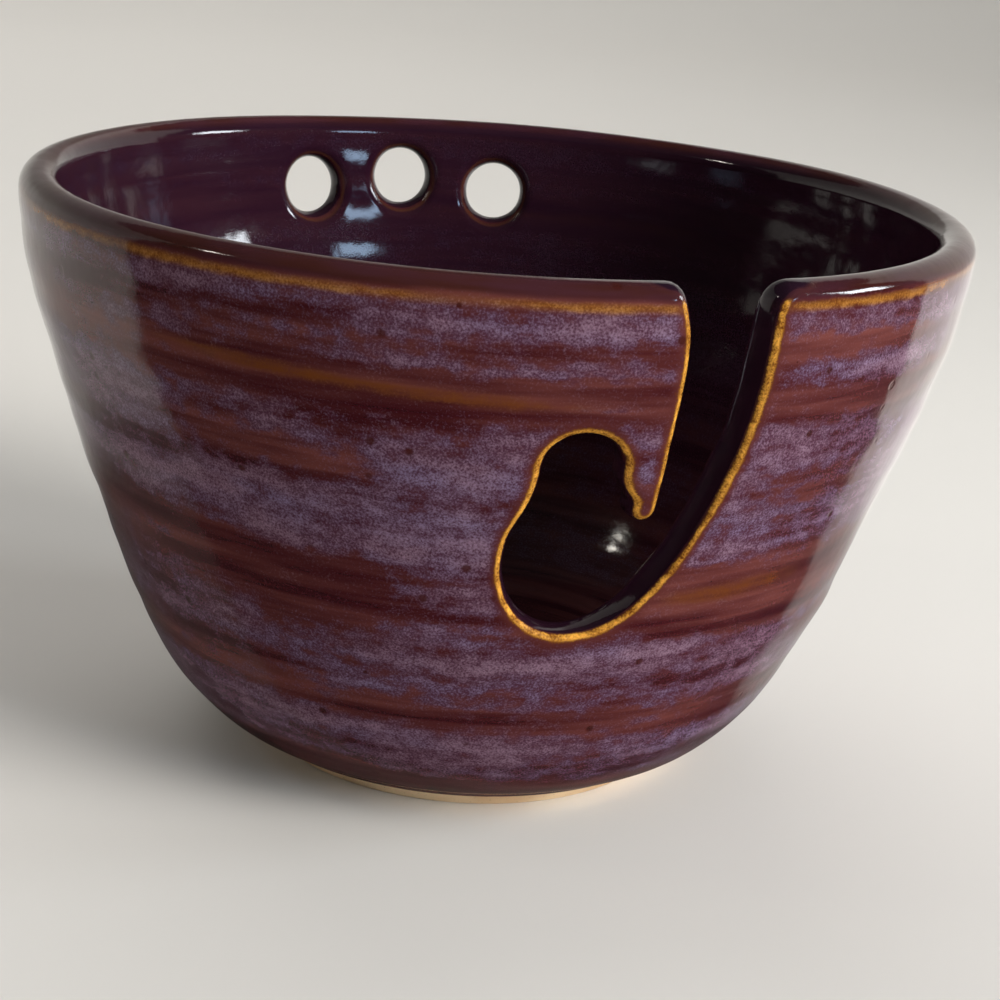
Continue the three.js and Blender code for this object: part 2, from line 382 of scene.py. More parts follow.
class Surface:
    """Vertices, faces and, for each vertex, the measures that the relief and materials read: its
    level along the wall, through, and its distances from the openings and the glaze line."""

    def __init__(self, step, depth):
        self.step = step
        self.depth = depth
        self.points = []
        self.measures = []
        self.faces = []

    def add(self, points, level, through, from_opening=FAR, from_line=FAR):
        """Adds vertices and gives their indices."""
        measures = np.zeros((len(points), 4))
        for column, values in enumerate((level, through, from_opening, from_line)):
            measures[:, column] = values
        self.points.extend(points)
        self.measures.extend(measures)
        return np.arange(len(self.points) - len(points), len(self.points))

    def add_planned(self, plan, through):
        """Adds points of the unrolled wall."""
        angle = plan[:, 0] / UNROLL_RADIUS
        outer, inner = (self.wall_radius(side, plan[:, 1]) for side in (OUTER, INNER))
        radius = (outer + inner) / 2 + through * (outer - inner) / 2
        points = np.stack([radius * np.sin(angle), -radius * np.cos(angle), plan[:, 1]], -1)
        return self.add(points, plan[:, 1], through, distance_to(OPENINGS, plan))

    def wall_radius(self, side, height):
        """The radius of one side of the wall at heights on the unrolled part."""
        line = self.section(side)
        upper = line[line[:, 1] > ONE_RADIUS_FROM]
        return np.interp(height, upper[:, 1], upper[:, 0])

    def section(self, side):
        """The wall's outer or inner line, upwards, sunk into the clay by the depth."""
        line = SECTIONS[side]
        return line - side * right_of(line) * self.depth

    def strip(self, upper, lower, flip=False):
        """Joins two closed rings, of equal counts or two to one."""
        for j, k in enumerate(np.roll(np.arange(len(lower)), -1)):
            if len(upper) == len(lower):
                faces = [(upper[j], lower[j], lower[k], upper[k])]
            else:
                a, b, c = upper[2 * j], upper[2 * j + 1], upper[2 * k]
                faces = [(a, lower[j], b), (b, lower[j], lower[k]), (b, lower[k], c)]
            self.faces += [face[::-1] if flip else face for face in faces]

    def fan(self, ring, middle, flip=False):
        """Joins a closed ring to one vertex."""
        for a, b in zip(ring, np.roll(ring, -1)):
            self.faces.append((b, middle, a) if flip else (a, middle, b))

    def take_in(self, other):
        """Adds another surface, turned inside out, and gives the offset of its vertices."""
        offset = len(self.points)
        self.points += other.points
        self.measures += other.measures
        self.faces += [tuple(corner + offset for corner in face[::-1]) for face in other.faces]
        return offset


def add_edges(surface):
    """The rounded edges of the rim, the slot and the holes. Gives the plan of their last rings,
    and those rings' vertices on each side of the wall."""
    edges = [rim_edge(surface.step), *(hole_edge(hole, surface.step) for hole in HOLES)]
    turns = np.linspace(0, math.pi / 2, max(4, round(EDGE_RINGS * FACE_STEP / surface.step)) + 1)
    last = {OUTER: [], INNER: []}
    plans = []
    for edge in edges:
        plan, through = edge.ring(turns[0], surface.depth)
        middle = surface.add_planned(plan, through)
        for side in (OUTER, INNER):
            ring = middle
            for turn in turns[1:]:
                plan, through = edge.ring(turn, surface.depth)
                following = surface.add_planned(plan, side * through)
                surface.strip(ring, following, flip=side == INNER)
                ring = following
            last[side].append(ring)
        plans.append(plan)
    return plans, last


def sheet_plan(step, plans):
    """A face of the unrolled wall between the edges. Gives its seam, its bottom row, the points
    between, and triangles over the edges' plans and all of these in the order of sheet_corners."""
    columns = wall_columns(step)
    across = AROUND / columns
    rows = round((LIP_CENTRE_HEIGHT - SHEET_BOTTOM) / (across * math.sqrt(3) / 2))
    heights = np.linspace(SHEET_BOTTOM, LIP_CENTRE_HEIGHT, rows, endpoint=False)
    first = SEAM + np.arange(columns) * across
    bottom = np.stack([first, np.full(columns, SHEET_BOTTOM)], -1)
    seam = np.stack([np.full(rows - 1, SEAM), heights[1:]], -1)

    # The far end of the sheet repeats the seam, one turn on.
    turn = np.array([AROUND, 0.0])
    outline = np.concatenate([
        plans[0], plans[0][:1] + turn, seam[::-1] + turn, bottom[:1] + turn, bottom[::-1], seam,
    ])
    loops = [outline, *plans[1:]]
    staggered = [
        np.stack([first[1:] - across / 2 * (i % 2), np.full(columns - 1, height)], -1)
        for i, height in enumerate(heights[1:])
    ]
    between = np.concatenate(staggered)
    between = between[inside(loops, between)]
    from_edges = distance_to(np.concatenate([*plans, seam, seam + turn]), between)
    between = between[from_edges > CLEAR_OF_EDGES * across]
    return seam, bottom, between, triangulated(loops, between)


def sheet_corners(rim, holes, seam, bottom, between):
    """The vertices of a face of the wall, in the order that its triangles count them."""
    return np.concatenate([
        rim, rim[:1], seam[::-1], bottom[:1], bottom[::-1], seam, *holes, between,
    ])


def add_sheets(surface, plans, last):
    """The wall's two faces between the edges. Gives the bottom ring of each."""
    *rows, triangles = sheet_plan(surface.step, plans)
    bottoms = {}
    for side in (OUTER, INNER):
        seam, bottom, between = (surface.add_planned(row, side) for row in rows)
        rim, *holes = last[side]
        faces = sheet_corners(rim, holes, seam, bottom, between)[triangles]
        surface.faces += [tuple(face) for face in (faces if side == OUTER else faces[:, ::-1])]
        bottoms[side] = bottom
    return bottoms


def column_angles(columns):
    """The angles of the wall's columns from the front line, starting at the seam."""
    return SEAM / UNROLL_RADIUS + np.arange(columns) * 2 * math.pi / columns


def turned(radius, height, columns):
    """A ring of points round the axis, in step with the wall's columns."""
    angle = column_angles(columns)
    heights = np.broadcast_to(height, columns)
    return np.stack([radius * np.sin(angle), -radius * np.cos(angle), heights], -1)


def add_rows_to_axis(surface, ring, line, lengths, side):
    """Rows from a ring in to the axis, at lengths along a line, with fewer columns as they get
    shorter."""
    flip = side == INNER
    for length in lengths:
        radius, height = at_length(line, line, length)
        halved = 2 * math.pi * radius / len(ring) < surface.step / 2 and len(ring) % 2 == 0
        points = turned(radius, height, len(ring) // 2 if halved else len(ring))
        following = surface.add(points, SHEET_BOTTOM - length, side)
        surface.strip(ring, following, flip)
        ring = following
    on_axis = np.array([[0.0, 0.0, line[-1, 1]]])
    middle = surface.add(on_axis, SHEET_BOTTOM - lengths_along(line)[-1], side)[0]
    surface.fan(ring, middle, flip)


def add_floor(surface, ring):
    """The inside from the sheet's bottom ring down over the floor."""
    line = surface.section(INNER)
    line[0, 0] = 0.0
    start = np.interp(SHEET_BOTTOM, line[:, 1], lengths_along(line))
    downwards = at_length(line, line, np.linspace(start, 0, 400))
    rows = round(start / surface.step)
    add_rows_to_axis(surface, ring, downwards, np.linspace(0, start, rows, endpoint=False)[1:], INNER)


def add_outside(surface, ring):
    """Turned rows from the sheet's bottom ring down the outside to the slightly wavy glaze line,
    closer together towards it. Gives the last ring."""
    line = SECTIONS[OUTER]
    into_clay = -right_of(line)
    start = np.interp(SHEET_BOTTOM, line[:, 1], lengths_along(line))
    lengths = [0.0]
    while lengths[-1] + 1.5 * surface.step < start:
        gap = min(surface.step, FIRST_ROW * surface.step + ROW_GROWTH * lengths[-1])
        lengths.append(lengths[-1] + gap)
    if surface.depth:
        lengths = lengths[1:]  # a sunk face stops short of the line
    rise = waves(GLAZE_LINE_WAVES, column_angles(len(ring)), GLAZE_LINE_RISE)
    for length in reversed(lengths):
        from_line = length + rise * math.exp(-length / LINE_WAVES_FADE)
        rolled = 1 - math.sqrt(1 - max(0.0, 1 - length / GLAZE_END) ** 2)
        sunk = max(surface.depth, GLAZE_THICKNESS * rolled)
        spot = at_length(line, line, from_line) + at_length(line, into_clay, from_line) * sunk
        points = turned(spot[:, 0], spot[:, 1], len(ring))
        following = surface.add(points, spot[:, 1], OUTER, FAR, length)
        surface.strip(ring, following)
        ring = following
    return ring


def bowl_surface(step, depth):
    """The whole glazed face of the bowl, sunk by a depth. Gives it and its ring at the glaze line."""
    surface = Surface(step, depth)
    plans, last = add_edges(surface)
    bottoms = add_sheets(surface, plans, last)
    add_floor(surface, bottoms[INNER])
    return surface, add_outside(surface, bottoms[OUTER])


def add_underside(surface, ring):
    """The bare foot: the band under the glaze line, its rounded corner and the flat underside."""
    start = np.linalg.norm(surface.points[ring[0]][:2]), surface.points[ring[0]][2]
    centre = (FOOT_RADIUS - FOOT_ROUNDING, FOOT_ROUNDING)
    corner = arc(centre, FOOT_ROUNDING, math.radians(-20), -math.pi / 2)
    line = np.concatenate([[start], corner, [(0.0, 0.0)]])
    fine = np.arange(FOOT_STEP, FOOT_FINE, FOOT_STEP)
    coarse = np.arange(FOOT_FINE, lengths_along(line)[-1] - 1, surface.step)
    add_rows_to_axis(surface, ring, line, np.concatenate([fine, coarse]), OUTER)


# ---------------------------------------------------------------- the marks of the hand

def throwing_marks(level, angle, seed):
    """Shallow rings that climb the wall in a spiral, in millimetres out from the even surface."""
    random = np.random.default_rng(seed)
    marks = np.zeros(len(level))
    for wavelength in RING_WAVELENGTHS:
        turns = random.integers(-1, 3)
        phase, sway_phase = random.uniform(0, 2 * math.pi, 2)
        sway = RING_SWAY * np.sin(random.integers(1, 4) * angle + sway_phase)
        wave = np.sin(2 * math.pi * level / wavelength + turns * angle + phase + sway)
        marks += RING_SLOPE * wavelength / (2 * math.pi) * wave
    return marks


def vertex_normals(points, faces):
    """Unit vectors out of the surface at its vertices, each averaged over its faces by area."""
    normals = np.zeros_like(points)
    for corners in (3, 4):
        group = np.array([face for face in faces if len(face) == corners])
        across = points[group[:, 2]] - points[group[:, 0]]
        down = points[group[:, 1]] - points[group[:, -1]]
        np.add.at(normals, group.ravel(), np.repeat(np.cross(down, across), corners, axis=0))
    return normals / np.linalg.norm(normals, axis=1)[:, None]


def shape_by_hand(surface):
    """Adds the throwing rings, the rolled bead above the glaze line and the lip's slight wander."""
    points = np.array(surface.points)
    level, through, _, from_line = np.array(surface.measures).T
    angle = np.arctan2(points[:, 0], -points[:, 1])
    outer_share = (1 + through) / 2
    outer_marks = throwing_marks(level, angle, seed=5)
    inner_marks = throwing_marks(level, angle, seed=8)
    marks = inner_marks + outer_share * (outer_marks - inner_marks)
    bead = BEAD_HEIGHT * np.exp(-((from_line - BEAD_CENTRE) / BEAD_WIDTH) ** 2)
    points += vertex_normals(points, surface.faces) * (marks + bead)[:, None]
    points[:, 2] += waves(LIP_WAVES, angle) * smooth_step(level, 0.4 * HEIGHT, HEIGHT)
    surface.points = list(points)


# ---------------------------------------------------------------- how the glaze runs

def banded(bands, level):
    """A share read off (level, share) pairs."""
    levels, shares = np.array(bands).T
    return np.interp(level, levels, shares)


def stroked(strokes, angle, level):
    """The sum of strokes along the wall. A stroke is its middle's angle and level, its half length
    in degrees, its half height, how much it climbs per degree, and its strength."""
    total = np.zeros(len(level))
    for middle, height, half_length, half_height, climb, strength in strokes:
        along = (angle - middle + 180) % 360 - 180
        across = level - height - climb * along
        total += strength * np.exp(-(along / half_length) ** 4 - (across / half_height) ** 2)
    return total


def glaze_run(points, level):
    """How milky and how thin the glaze is at each point, from 0 to 1."""
    angle = np.degrees(np.arctan2(points[:, 0], -points[:, 1]))
    wander = BAND_TILT * np.sin(np.radians(angle) + 0.5)
    wander += BAND_SWAY * np.sin(np.radians(3 * angle) + level / SWAY_CLIMB)
    wander *= smooth_step(HEIGHT - level, 2.0, 20.0)
    milky = banded(HAZE_BANDS, level + wander) + stroked(HAZE_STROKES, angle, level)
    thin = stroked(THIN_STROKES, angle, level + 0.5 * wander)
    return np.clip(milky, 0, 1), np.clip(thin, 0, 1)


# ---------------------------------------------------------------- the two pieces

def make_piece(name, surface):
    """A smooth mesh object of a surface, with its measures as attributes in design millimetres."""
    points = np.array(surface.points)
    level, through, from_opening, from_line = np.array(surface.measures).T
    milky, thin = glaze_run(points, level)
    mesh = bpy.data.meshes.new(name)
    mesh.from_pydata((points * MM).tolist(), [], [[int(c) for c in face] for face in surface.faces])
    flow = np.stack([points[:, 0], points[:, 1], level], -1)
    mesh.attributes.new("flow", "FLOAT_VECTOR", "POINT").data.foreach_set("vector", flow.ravel())
    measures = {
        "through": through,
        "from_opening": from_opening,
        "from_line": from_line,
        "milky": milky,
        "thin": thin,
    }
    for label, values in measures.items():
        mesh.attributes.new(label, "FLOAT", "POINT").data.foreach_set("value", values)
    mesh.shade_smooth()
    piece = bpy.data.objects.new(name, mesh)
    bpy.context.scene.collection.objects.link(piece)
    return piece


def make_glaze():
    """The coat: its glossy face, and a coarser hidden face against the clay."""
    coat, line_ring = bowl_surface(FACE_STEP, 0.0)
    hidden, hidden_ring = bowl_surface(HIDDEN_STEP, GLAZE_THICKNESS)
    shape_by_hand(coat)
    shape_by_hand(hidden)
    offset = coat.take_in(hidden)
    coat.strip(line_ring, hidden_ring + offset)
    return make_piece("glaze", coat)


def make_clay():
    """The fired clay inside the coat, down to its bare foot."""
    body, line_ring = bowl_surface(HIDDEN_STEP, CLAY_DEPTH)
    shape_by_hand(body)
    add_underside(body, line_ring)
    return make_piece("clay", body)


# ---------------------------------------------------------------- materials

class Nodes:
    """A material's nodes, made by short calls. An input is a number, a colour, a vector or
    another node's output."""

    def __init__(self, tree):
        self.tree = tree
        self.tree.nodes.clear()

    def add(self, kind, inputs, output=0, **settings):
        """Adds a node with its settings and inputs, and gives one of its outputs."""
        node = self.tree.nodes.new(kind)
        for key, value in settings.items():
            setattr(node, key, value)
        for name, value in inputs.items():
            socket = node.inputs[name]
            if isinstance(value, bpy.types.NodeSocket):
                self.tree.links.new(value, socket)
            elif socket.type == "RGBA":
                socket.default_value = (*value, 1.0)
            else:
                socket.default_value = value
        return node.outputs[output] if node.outputs else None

    def measure(self, name, output="Fac"):
        """One of the measures stored on the mesh."""
        return self.add("ShaderNodeAttribute", {}, output, attribute_name=name)

    def math(self, operation, a, b=0.0):
        return self.add("ShaderNodeMath", {0: a, 1: b}, operation=operation)

    def plus(self, a, b):
        return self.math("ADD", a, b)

    def times(self, a, b):
        return self.math("MULTIPLY", a, b)

    def less(self, a):
        """One less a value."""
        return self.math("SUBTRACT", 1.0, a)

    def ramp(self, value, low, high, to_low=0.0, to_high=1.0):
        """A smooth climb or fall as a value goes from low to high."""
        inputs = {"Value": value, "From Min": low, "From Max": high, "To Min": to_low, "To Max": to_high}
        return self.add("ShaderNodeMapRange", inputs, interpolation_type="SMOOTHSTEP")

    def hump(self, value, centre, half_width):
        """One at the centre, falling smoothly to nothing half a width either side."""
        apart = self.math("ABSOLUTE", self.math("SUBTRACT", value, centre))
        return self.ramp(apart, 0.0, half_width, 1.0, 0.0)

    def stretched(self, vector, around, up):
        """A vector scaled by one number along the wall's rings and another up the wall."""
        return self.add("ShaderNodeVectorMath", {0: vector, 1: (around, around, up)}, operation="MULTIPLY")

    def noise(self, vector, detail=2.0, roughness=0.5, offset=0.0):
        """Smooth noise, near 0.5, with features about one unit of the vector across."""
        moved = self.add("ShaderNodeVectorMath", {0: vector, 1: (offset, offset, offset)}, operation="ADD")
        inputs = {"Vector": moved, "Scale": 1.0, "Detail": detail, "Roughness": roughness}
        return self.add("ShaderNodeTexNoise", inputs)

    def spread(self, noise):
        """Noise moved and widened to lie mostly between -1 and 1."""
        return self.math("MULTIPLY", self.math("SUBTRACT", noise, 0.5), 4.0)

    def mix(self, share, a, b):
        """A colour between a, at no share, and b, at a share of one."""
        inputs = {0: share, 6: a, 7: b}
        return self.add("ShaderNodeMix", inputs, 2, data_type="RGBA", clamp_factor=True)

    def along(self, vector, axis):
        """How far a vector goes along a unit axis."""
        return self.add("ShaderNodeVectorMath", {0: vector, 1: axis}, "Value", operation="DOT_PRODUCT")

    def bump(self, height, strength, distance, normal=None):
        """The normal of a relief, laid over another normal if one is given."""
        inputs = {"Height": height, "Strength": strength, "Distance": distance}
        if normal is not None:
            inputs["Normal"] = normal
        return self.add("ShaderNodeBump", inputs)

    def finish(self, **inputs):
        """The material's shader. An input's name has _ where the shader's has a space."""
        named = {name.replace("_", " "): value for name, value in inputs.items()}
        shader = self.add("ShaderNodeBsdfPrincipled", named)
        self.add("ShaderNodeOutputMaterial", {"Surface": shader})


def new_material(name):
    """An empty material and its nodes."""
    material = bpy.data.materials.new(name)
    material.use_nodes = True
    return material, Nodes(material.node_tree)


# Colours of the glaze, as linear red, green and blue.
OXBLOOD = (0.036, 0.0035, 0.006)
RUST = (0.138, 0.041, 0.034)
PLUM = (0.060, 0.019, 0.036)
HAZE_BLUE = (0.225, 0.180, 0.300)
HAZE_PINK = (0.260, 0.165, 0.225)
# The bright amber is partly the glaze's own colour and partly a painted highlight for glints on the cut
# edges.
AMBER_WITH_PAINTED_GLINT = (0.88, 0.43, 0.065)
AMBER_DEEP = (0.120, 0.034, 0.004)
EDGE_RED = (0.083, 0.020, 0.017)
LIP_BROWN = (0.034, 0.009, 0.006)
LIP_PLUM = (0.036, 0.011, 0.018)
CUT_PLUM = (0.012, 0.004, 0.011)
INSIDE_PLUM = (0.013, 0.004, 0.011)
SPECK = (0.042, 0.008, 0.006)
GLAZE_IOR = 1.52

# Levels where the glaze changes, and how far the cut edges' amber reaches, in design millimetres.
LIP_LINE = LIP_CENTRE_HEIGHT + 0.1
LIP_LINE_WIDTH = 1.1
EDGE_BAND = 0.5
EDGE_BAND_WIDTH = 1.35
EDGE_TURN = 3.3  # the length of surface from the middle of a cut face to the wall's face
DEEP_INSIDE = 15.0  # below this level the inside's colour is least hidden
HIGH_INSIDE = 75.0  # and above this level it is nearly hidden under plum
BUBBLE_SPACING = 5.0


def glaze_measures(n):
    """What the glaze's colours are made from: the mesh's measures, and noises laid along the
    wall. Streaks run round it, clouds and blotches break them up, and grains are the finest."""
    flow = n.measure("flow", "Vector")
    through = n.measure("through")
    on_cut = n.less(n.math("ABSOLUTE", through))
    from_opening = n.measure("from_opening")
    return SimpleNamespace(
        flow=flow,
        level=n.add("ShaderNodeSeparateXYZ", {0: flow}, 2),
        outside=n.ramp(through, -0.1, 0.5),
        inside=n.ramp(through, -0.5, -0.95),
        from_opening=from_opening,
        past_edge=n.math("SUBTRACT", from_opening, n.times(on_cut, EDGE_TURN)),
        streaks=n.spread(n.noise(n.stretched(flow, 0.016, 0.28), 3.0, 0.5, 13.0)),
        fine_streaks=n.spread(n.noise(n.stretched(flow, 0.06, 0.7), 2.0, 0.5, 31.0)),
        clouds=n.spread(n.noise(n.stretched(flow, 0.05, 0.12), 3.0, 0.5, 7.0)),
        blotches=n.spread(n.noise(n.stretched(flow, 0.30, 0.5), 2.0, 0.5, 17.0)),
        grains=n.spread(n.noise(n.stretched(flow, 3.0, 3.0), 2.0, 0.6, 23.0)),
    )


def milky_share(n, g):
    """How milky the glaze is: its bands broken up by noise, clear at the cut edges and the lip,
    and fainter inside."""
    milky = n.measure("milky")
    shares = (g.streaks, 0.30), (g.fine_streaks, 0.14), (g.clouds, 0.28), (g.blotches, 0.30)
    for noise, share in shares:
        milky = n.plus(milky, n.times(noise, share))
    milky = n.times(n.ramp(milky, -0.1, 1.2), n.ramp(g.from_opening, 0.8, 3.0, 0.1, 1.0))
    milky = n.times(milky, n.ramp(g.level, LIP_LINE + 1.6, LIP_LINE - 0.6))
    return n.times(milky, n.less(n.times(g.inside, 0.45)))


def milky_glass(n, g):
    """Red-brown glass with the milk as fine blue-violet flecks in it."""
    milky = milky_share(n, g)
    glass = n.mix(n.ramp(n.plus(g.streaks, n.times(g.fine_streaks, 0.4)), -1.0, 1.3), OXBLOOD, RUST)
    glass = n.mix(n.ramp(milky, 0.1, 0.6), glass, PLUM)
    milk = n.mix(n.ramp(g.clouds, -0.5, 0.5), HAZE_BLUE, HAZE_PINK)
    flecks = n.ramp(n.plus(n.times(g.grains, 0.8), n.times(milky, 1.1)), 0.05, 1.7)
    return n.mix(n.times(flecks, n.plus(0.3, n.times(milky, 0.5))), glass, milk)


def edge_bands(n, g):
    """The amber band round each cut edge, fainter over the lip, and the red halo outside it."""
    past_edge = n.plus(g.past_edge, n.times(n.plus(g.grains, g.blotches), 0.22))
    halo = n.times(n.ramp(past_edge, 2.9, 1.2), g.outside)
    band = n.hump(past_edge, EDGE_BAND, EDGE_BAND_WIDTH)
    band = n.times(band, n.ramp(g.level, LIP_LINE + 1.5, LIP_LINE, 0.3, 1.0))
    return n.times(band, n.plus(g.outside, n.times(g.inside, 0.5))), halo


def broken_amber(n, g, colour, band, halo):
    """Thin glaze breaks amber: on some rings, in a line under the lip and round the cut edges. The amber's
    brightness and its bright specks are partly the glaze's own colour and partly painted glints.
    """
    unevenness = n.plus(n.plus(g.streaks, g.blotches), g.grains)
    thin = n.plus(n.measure("thin"), n.times(unevenness, 0.14))
    colour = n.mix(n.ramp(thin, 0.2, 0.9, 0.0, 0.9), colour, AMBER_DEEP)
    # Bright amber specks: partly grain in the glaze, partly painted glints.
    grain_and_painted_glint = n.plus(n.times(g.grains, 0.6), n.times(g.blotches, 0.6))
    amber = n.mix(n.ramp(grain_and_painted_glint, -0.9, 1.1), AMBER_DEEP, AMBER_WITH_PAINTED_GLINT)
    wavy_level = n.plus(g.level, n.times(n.plus(g.blotches, g.clouds), 0.3))
    lip_line = n.times(n.hump(wavy_level, LIP_LINE, LIP_LINE_WIDTH), g.outside)
    lip_line = n.times(lip_line, n.ramp(g.clouds, -0.7, 0.4, 0.2, 0.85))
    colour = n.mix(lip_line, colour, n.mix(0.65, amber, AMBER_DEEP))
    colour = n.mix(n.times(halo, 0.7), colour, EDGE_RED)
    # The band's large share of bright amber is partly painted highlight.
    return n.mix(n.ramp(band, 0.0, 0.7), colour, n.mix(n.ramp(band, 0.2, 0.8), AMBER_DEEP, amber))


def darkened(n, g, colour):
    """The lip and the cut faces are dark, the inside is darker than the outside, and the glaze is
    clear and red just above its line."""
    lip = n.mix(n.ramp(n.plus(g.clouds, g.fine_streaks), -0.9, 0.9), LIP_BROWN, LIP_PLUM)
    wavy_level = n.plus(g.level, n.times(g.clouds, 0.3))
    colour = n.mix(n.ramp(wavy_level, LIP_LINE + 0.6, LIP_LINE + 1.6, 0.0, 0.85), colour, lip)
    colour = n.mix(n.ramp(g.past_edge, 0.1, -0.9, 0.0, 0.92), colour, CUT_PLUM)
    deep = n.times(g.inside, n.ramp(g.level, DEEP_INSIDE, HIGH_INSIDE, 0.35, 0.88))
    colour = n.mix(deep, colour, INSIDE_PLUM)
    return n.mix(n.ramp(n.measure("from_line"), 4.5, 1.0, 0.0, 0.7), colour, RUST)


def burst_bubbles(n, g):
    """Sparse specks of different sizes on the outside, each like a burst bubble."""
    cells = n.add("ShaderNodeVectorMath", {0: g.flow, 3: 1 / BUBBLE_SPACING}, operation="SCALE")
    apart = n.add("ShaderNodeTexVoronoi", {"Vector": cells, "Scale": 1.0})
    chance = n.add("ShaderNodeSeparateXYZ", {0: apart.node.outputs["Color"]})
    size = n.ramp(chance, 0.55, 0.9, 0.001, 0.2)
    return n.times(n.ramp(n.math("DIVIDE", apart, size), 1.0, 0.5), g.outside)


def glaze_material():
    """Glossy glaze: milky blue-violet bands over red-brown glass, which breaks amber where it
    runs thin."""
    material, n = new_material("purple_glaze")
    g = glaze_measures(n)
    band, halo = edge_bands(n, g)
    specks = burst_bubbles(n, g)
    colour = broken_amber(n, g, milky_glass(n, g), band, halo)
    colour = n.mix(n.times(specks, 0.85), darkened(n, g, colour), SPECK)
    relief = n.plus(n.times(g.grains, n.plus(0.06, n.times(band, 1.2))), n.times(specks, -0.8))
    dimples = n.bump(n.noise(n.stretched(g.flow, 0.16, 0.16), 2.0, 0.5, 51.0), 0.25, 0.0004)
    normal = n.bump(relief, 0.4, 0.00008, dimples)
    rough = n.ramp(g.grains, -0.7, 0.7, 0.05, 0.11)
    n.finish(Base_Color=colour, Roughness=rough, IOR=GLAZE_IOR, Normal=normal)
    return material


# Colours of the fired clay.
BUFF = (0.80, 0.61, 0.39)
TOAST = (0.66, 0.45, 0.26)
IRON = (0.16, 0.08, 0.04)


def clay_material():
    """Bare buff stoneware: sandy, with turning lines and a few iron specks."""
    material, n = new_material("bare_clay")
    metres = n.add("ShaderNodeTexCoord", {}, "Object")
    place = n.add("ShaderNodeVectorMath", {0: metres, 3: 1.0 / MM}, operation="SCALE")
    sand = n.noise(n.stretched(place, 2.6, 2.6), 3.0, 0.7)
    lines = n.noise(n.stretched(place, 0.02, 2.2), 2.0, 0.5, 9.0)
    clouds = n.noise(n.stretched(place, 0.09, 0.09), 3.0, 0.5, 19.0)
    colour = n.mix(n.ramp(clouds, 0.35, 0.7), BUFF, TOAST)
    colour = n.mix(n.ramp(sand, 0.62, 0.75), colour, IRON)
    relief = n.plus(n.times(sand, 0.5), lines)
    n.finish(Base_Color=colour, Roughness=0.82, Normal=n.bump(relief, 0.5, 0.0001))
    return material


# ---------------------------------------------------------------- the studio

# The camera's place in design millimetres, and how it is turned in degrees.
CAMERA_DISTANCE = 340.6
CAMERA_HEIGHT = 153.65
CAMERA_AZIMUTH = -106.2
CAMERA_HEADING = 73.11
CAMERA_PITCH = 18.10
CAMERA_ROLL = 4.55
CAMERA_LENS = 72.0

# The floor and the room, in metres. One side of the floor is dark to reflections only: a painted dark
# reflection standing in for a dark side of the room.
FLOOR_RADIUS = 1.3
SWEEP_RADIUS = 0.6
SWEEP_HEIGHT = 1.5
SWEEP_STEPS = 14
FLOOR_COLUMNS = 96
PALE = (0.73, 0.715, 0.68)
DARK = (0.04, 0.03, 0.03)
DARK_SIDE = -106.9  # azimuth
DARK_BEGINS = 0.046
DARK_BORDER = 0.006  # half the border's width
DARK_SLANT = 0.49
SHADE_RADIUS = 0.12  # the floor is dark to reflections within this
SHADE_END = 0.18
ROOM_COLOUR = (0.95, 0.97, 1.0)
ROOM_LIGHT = 0.2
ROOM_REFLECTED = 0.03

WARM = (1.0, 0.97, 0.94)
DAYLIGHT = (0.88, 0.94, 1.0)
SKY_BLUE = (0.50, 0.72, 1.0)
LAMP = (1.0, 0.94, 0.84)


def direction(azimuth, elevation):
    """A unit vector from angles in degrees. Azimuth 0 is +X and 90 is +Y."""
    turn, lift = math.radians(azimuth), math.radians(elevation)
    return Vector((math.cos(turn) * math.cos(lift), math.sin(turn) * math.cos(lift), math.sin(lift)))


def floor_material():
    """Pale. Only to reflections, the floor is dark on the room's dark side and close round the
    bowl, and glows a little to the right, so that the glaze keeps deep colours and pale flanks."""
    material, n = new_material("pale_floor")
    place = n.add("ShaderNodeTexCoord", {}, "Object")
    colour = n.mix(n.noise(n.stretched(place, 3.0, 3.0)), PALE, tuple(0.97 * c for c in PALE))
    towards_dark = n.along(place, direction(DARK_SIDE, 0))
    right = n.along(place, direction(DARK_SIDE + 90, 0))
    past_edge = n.plus(towards_dark, n.times(n.math("MAXIMUM", right, 0.0), DARK_SLANT))
    dark_side = n.ramp(past_edge, DARK_BEGINS - DARK_BORDER, DARK_BEGINS + DARK_BORDER)
    radius = n.add("ShaderNodeVectorMath", {0: place}, "Value", operation="LENGTH")
    near_bowl = n.ramp(radius, SHADE_END, SHADE_RADIUS, 0.0, 0.85)
    in_reflection = n.add("ShaderNodeLightPath", {}, "Is Glossy Ray")
    colour = n.mix(n.times(n.math("MAXIMUM", dark_side, near_bowl), in_reflection), colour, DARK)
    # A painted pale reflection: to reflections only, the floor glows a little to the right.
    glow = n.times(n.times(in_reflection, n.less(dark_side)), n.ramp(right, 0.05, 0.07, 0.0, 0.5))
    n.finish(Base_Color=colour, Roughness=0.8, IOR=1.2, Emission_Color=PALE, Emission_Strength=glow)
    return material


